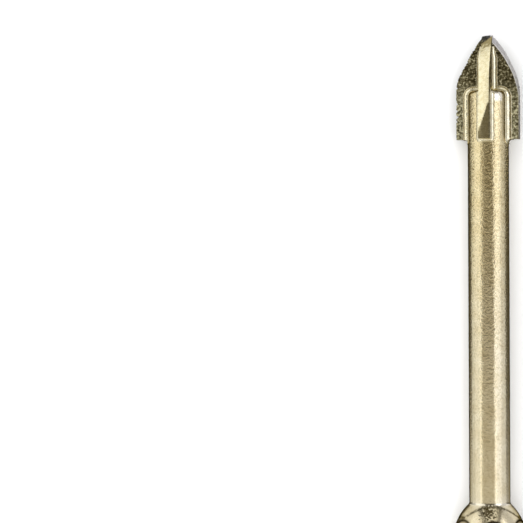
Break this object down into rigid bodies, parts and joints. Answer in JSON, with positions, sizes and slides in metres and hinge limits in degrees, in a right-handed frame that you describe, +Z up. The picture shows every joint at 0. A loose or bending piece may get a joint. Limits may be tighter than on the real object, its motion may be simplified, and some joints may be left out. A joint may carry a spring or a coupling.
{
  "type": "glass and tile drill bit",
  "caption": "Carbide-tipped glass and tile drill bit: a cross-shaped spear point brazed into a slotted round rod, with a hexagonal quick-change shank.",
  "frame": {"origin": "centre of the shank's end face, on the bit's axis", "axes": "+Y along the axis from the shank's end face to the point; +Z up, square to the hexagon's upper flat, with the bit lying on the opposite flat"},
  "size_m": [0.0074, 0.0762, 0.0064],
  "materials": {
    "gold_steel": "pale gold coating on turned steel, satin bright",
    "gold_carbide": "dark gold, granular, with bare ground lands",
    "braze": "smooth bright braze under the pale gold coating"
  },
  "bodies": {
    "root": {"steel_shank": "gold_steel", "main_blade": "gold_carbide", "upper_side_blade": "gold_carbide", "lower_side_blade": "gold_carbide", "braze_joint": "braze"}
  },
  "joints": []
}
